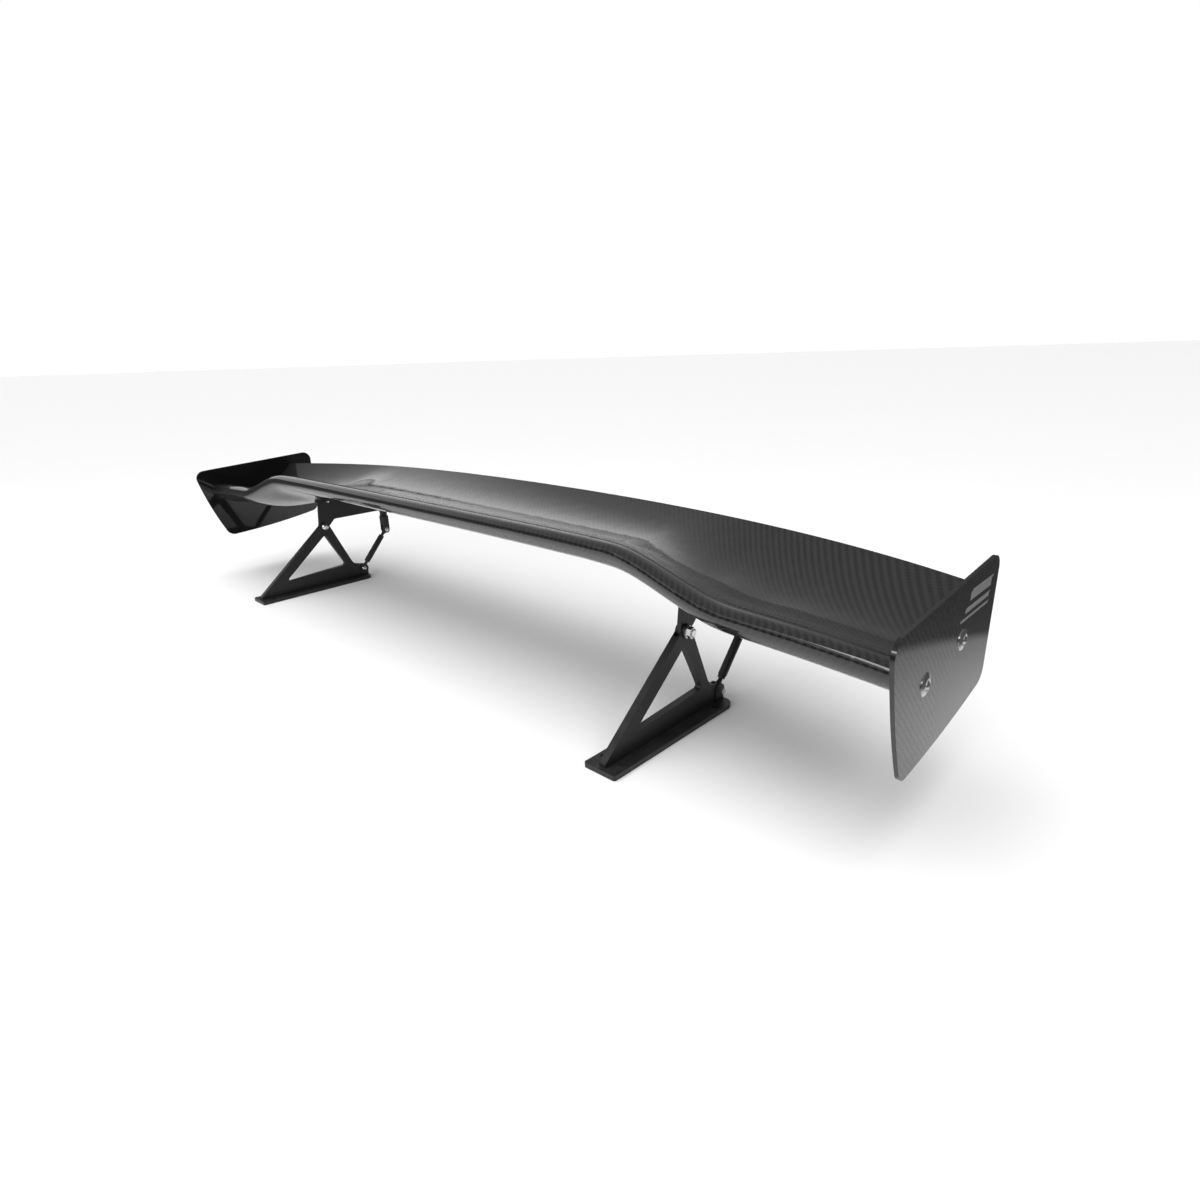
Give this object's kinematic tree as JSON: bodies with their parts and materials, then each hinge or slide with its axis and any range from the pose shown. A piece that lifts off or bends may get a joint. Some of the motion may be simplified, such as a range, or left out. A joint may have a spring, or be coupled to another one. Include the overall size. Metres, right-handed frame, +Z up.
{
  "type": "racing rear wing",
  "caption": "Full-width rear wing with a cambered airfoil and endplates, pitching on two windowed pedestals and set by a turnbuckle link behind each.",
  "frame": {"origin": "middle of the footprint on the underside of the pedestal bases", "axes": "+X along the span to the car's left, +Y to the rear, +Z up"},
  "size_m": [1.5518, 0.3142, 0.2522],
  "materials": {
    "carbon_skin": "clear-coated woven carbon laminate",
    "carbon_plate": "gloss black laminate plate",
    "foam_core": "dense structural foam with a laminate wrap",
    "black_aluminium": "satin black anodised",
    "plain_aluminium": "as machined",
    "stainless": "polished stainless fasteners",
    "black_steel": "black zinc plated",
    "ball_steel": "ground and chromed",
    "brass": "turned"
  },
  "bodies": {
    "pedestals": {"pedestal_left": "black_aluminium", "pivot_bolt_left": "stainless", "pivot_washer_left": "stainless", "pivot_nut_left": "stainless", "link_bolt_lower_left": "stainless", "link_nut_lower_left": "stainless", "link_ball_lower_left": "ball_steel", "pedestal_right": "black_aluminium", "pivot_bolt_right": "stainless", "pivot_washer_right": "stainless", "pivot_nut_right": "stainless", "link_bolt_lower_right": "stainless", "link_nut_lower_right": "stainless", "link_ball_lower_right": "ball_steel"},
    "wing": {"upper_skin": "carbon_skin", "lower_skin": "carbon_skin", "front_spar": "foam_core", "rear_spar": "foam_core", "tip_rib_left": "foam_core", "tip_inserts_left": "brass", "endplate_left": "carbon_plate", "endplate_washer_front_left": "stainless", "endplate_bolt_front_left": "stainless", "endplate_washer_rear_left": "stainless", "endplate_bolt_rear_left": "stainless", "wing_bracket_left": "black_aluminium", "bracket_screws_left": "stainless", "hard_point_left": "plain_aluminium", "pivot_bush_left": "brass", "link_bolt_upper_left": "stainless", "link_nut_upper_left": "stainless", "link_ball_upper_left": "ball_steel", "tip_rib_right": "foam_core", "tip_inserts_right": "brass", "endplate_right": "carbon_plate", "endplate_washer_front_right": "stainless", "endplate_bolt_front_right": "stainless", "endplate_washer_rear_right": "stainless", "endplate_bolt_rear_right": "stainless", "wing_bracket_right": "black_aluminium", "bracket_screws_right": "stainless", "hard_point_right": "plain_aluminium", "pivot_bush_right": "brass", "link_bolt_upper_right": "stainless", "link_nut_upper_right": "stainless", "link_ball_upper_right": "ball_steel"},
    "link_lower_left": {"rod_end_lower_left": "black_steel"},
    "lock_nuts_left": {"lock_nut_lower_left": "black_steel", "lock_nut_upper_left": "black_steel"},
    "link_upper_left": {"rod_end_upper_left": "black_steel"},
    "sleeve_turning_left": {"sleeve_left": "black_aluminium"},
    "link_lower_right": {"rod_end_lower_right": "black_steel"},
    "lock_nuts_right": {"lock_nut_lower_right": "black_steel", "lock_nut_upper_right": "black_steel"},
    "link_upper_right": {"rod_end_upper_right": "black_steel"},
    "sleeve_turning_right": {"sleeve_right": "black_aluminium"}
  },
  "joints": [
    {"name": "wing_pitch", "type": "hinge", "parent": "pedestals", "child": "wing", "pos_m": [0, 0, 0.127], "axis": [1, 0, 0], "range_deg": [-4, 8]},
    {"name": "link_swing_lower_left", "type": "hinge", "parent": "pedestals", "child": "link_lower_left", "pos_m": [0.4695, 0.0736, 0.02], "axis": [1, 0, 0], "range_deg": [-3.02, 5.7]},
    {"name": "link_extend_left", "type": "slide", "parent": "link_lower_left", "child": "lock_nuts_left", "axis": [0, 0.6606, 0.7507], "range_m": [-0.00491, 0.00928]},
    {"name": "sleeve_turn_left", "type": "hinge", "parent": "lock_nuts_left", "child": "sleeve_turning_left", "pos_m": [0.4695, 0.0736, 0.02], "axis": [0, 0.6606, 0.7507], "range_deg": [-1768, 3340]},
    {"name": "link_swing_upper_left", "type": "hinge", "parent": "wing", "child": "link_upper_left", "pos_m": [0.4695, 0.1396, 0.095], "axis": [1, 0, 0], "range_deg": [-2.8, 1.48]},
    {"name": "link_swing_lower_right", "type": "hinge", "parent": "pedestals", "child": "link_lower_right", "pos_m": [-0.4695, 0.0736, 0.02], "axis": [1, 0, 0], "range_deg": [-3.02, 5.7]},
    {"name": "link_extend_right", "type": "slide", "parent": "link_lower_right", "child": "lock_nuts_right", "axis": [0, 0.6606, 0.7507], "range_m": [-0.00491, 0.00928]},
    {"name": "sleeve_turn_right", "type": "hinge", "parent": "lock_nuts_right", "child": "sleeve_turning_right", "pos_m": [-0.4695, 0.0736, 0.02], "axis": [0, 0.6606, 0.7507], "range_deg": [-1768, 3340]},
    {"name": "link_swing_upper_right", "type": "hinge", "parent": "wing", "child": "link_upper_right", "pos_m": [-0.4695, 0.1396, 0.095], "axis": [1, 0, 0], "range_deg": [-2.8, 1.48]}
  ],
  "couplings": [
    {"joint": "link_swing_lower_left", "follows": "wing_pitch", "ratio": 0.6705},
    {"joint": "link_extend_left", "follows": "wing_pitch", "m_per_rad": 0.06254},
    {"joint": "sleeve_turn_left", "follows": "wing_pitch", "ratio": 392.95},
    {"joint": "link_swing_upper_left", "follows": "wing_pitch", "ratio": -0.3295},
    {"joint": "link_swing_lower_right", "follows": "wing_pitch", "ratio": 0.6705},
    {"joint": "link_extend_right", "follows": "wing_pitch", "m_per_rad": 0.06254},
    {"joint": "sleeve_turn_right", "follows": "wing_pitch", "ratio": 392.95},
    {"joint": "link_swing_upper_right", "follows": "wing_pitch", "ratio": -0.3295}
  ]
}
